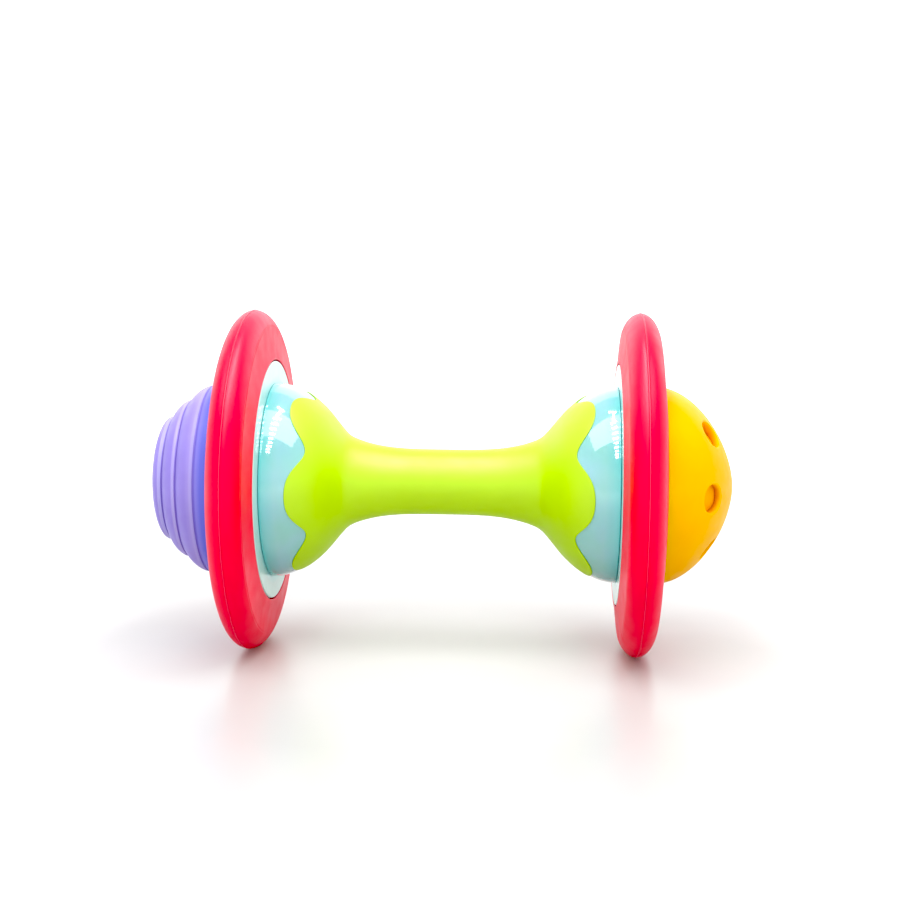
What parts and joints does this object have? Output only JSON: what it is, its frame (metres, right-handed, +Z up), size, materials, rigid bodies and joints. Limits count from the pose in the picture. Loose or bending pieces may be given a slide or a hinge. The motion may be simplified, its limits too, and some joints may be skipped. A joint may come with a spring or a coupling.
{
  "type": "baby rattle",
  "caption": "Dumbbell-shaped baby rattle: a scalloped soft grip between bells, spinning rings and hollow end domes with loose beads.",
  "frame": {"origin": "on the surface that the rattle lies on, under the middle of its length", "axes": "+X along the rattle from the ribbed dome to the perforated dome, +Z up"},
  "size_m": [0.1554, 0.0906, 0.0907],
  "materials": {
    "lime_grip": "matte soft-touch elastomer",
    "aqua_bell": "glossy moulded plastic",
    "pale_hub": "glossy moulded plastic",
    "red_tyre": "matte soft elastomer with a fine grain",
    "purple_dome": "satin moulded plastic",
    "yellow_dome": "satin moulded plastic",
    "orange_capsule": "satin moulded plastic",
    "white_plastic": "natural moulded plastic",
    "bead_plastic": "polished plastic",
    "screw_steel": "zinc-plated"
  },
  "bodies": {
    "handle": {"grip_sleeve": "lime_grip", "handle_coupler": "white_plastic", "ribbed_dome": "purple_dome", "perforated_dome": "yellow_dome", "bead_capsule": "orange_capsule", "left_bell": "aqua_bell", "left_bearing_plate": "white_plastic", "left_thrust_washer": "white_plastic", "left_dome_base": "white_plastic", "left_dome_screw": "screw_steel", "right_bell": "aqua_bell", "right_bearing_plate": "white_plastic", "right_thrust_washer": "white_plastic", "right_dome_base": "white_plastic", "right_dome_screw": "screw_steel"},
    "left_wheel": {"left_hub_inner": "pale_hub", "left_hub_outer": "pale_hub", "left_tyre": "red_tyre"},
    "right_wheel": {"right_hub_inner": "pale_hub", "right_hub_outer": "pale_hub", "right_tyre": "red_tyre"},
    "left_bead_1": {"left_bead_1": "bead_plastic"},
    "left_bead_2": {"left_bead_2": "bead_plastic"},
    "left_bead_3": {"left_bead_3": "bead_plastic"},
    "right_bead_1": {"right_bead_1": "bead_plastic"},
    "right_bead_2": {"right_bead_2": "bead_plastic"},
    "right_bead_3": {"right_bead_3": "bead_plastic"}
  },
  "joints": [
    {"name": "left_wheel_spin", "type": "hinge", "parent": "handle", "child": "left_wheel", "pos_m": [-0.05047, 0, 0.04533], "axis": [1, 0, 0], "continuous": true},
    {"name": "right_wheel_spin", "type": "hinge", "parent": "handle", "child": "right_wheel", "pos_m": [0.05212, 0, 0.04533], "axis": [1, 0, 0], "continuous": true},
    {"name": "left_bead_1_hop", "type": "slide", "parent": "handle", "child": "left_bead_1", "axis": [0, 0, 1], "range_m": [0, 0.01]},
    {"name": "left_bead_2_hop", "type": "slide", "parent": "handle", "child": "left_bead_2", "axis": [0, 0, 1], "range_m": [0, 0.01]},
    {"name": "left_bead_3_hop", "type": "slide", "parent": "handle", "child": "left_bead_3", "axis": [0, 0, 1], "range_m": [0, 0.01]},
    {"name": "right_bead_1_hop", "type": "slide", "parent": "handle", "child": "right_bead_1", "axis": [0, 0, 1], "range_m": [0, 0.0075]},
    {"name": "right_bead_2_hop", "type": "slide", "parent": "handle", "child": "right_bead_2", "axis": [0, 0, 1], "range_m": [0, 0.0075]},
    {"name": "right_bead_3_hop", "type": "slide", "parent": "handle", "child": "right_bead_3", "axis": [0, 0, 1], "range_m": [0, 0.0075]}
  ]
}
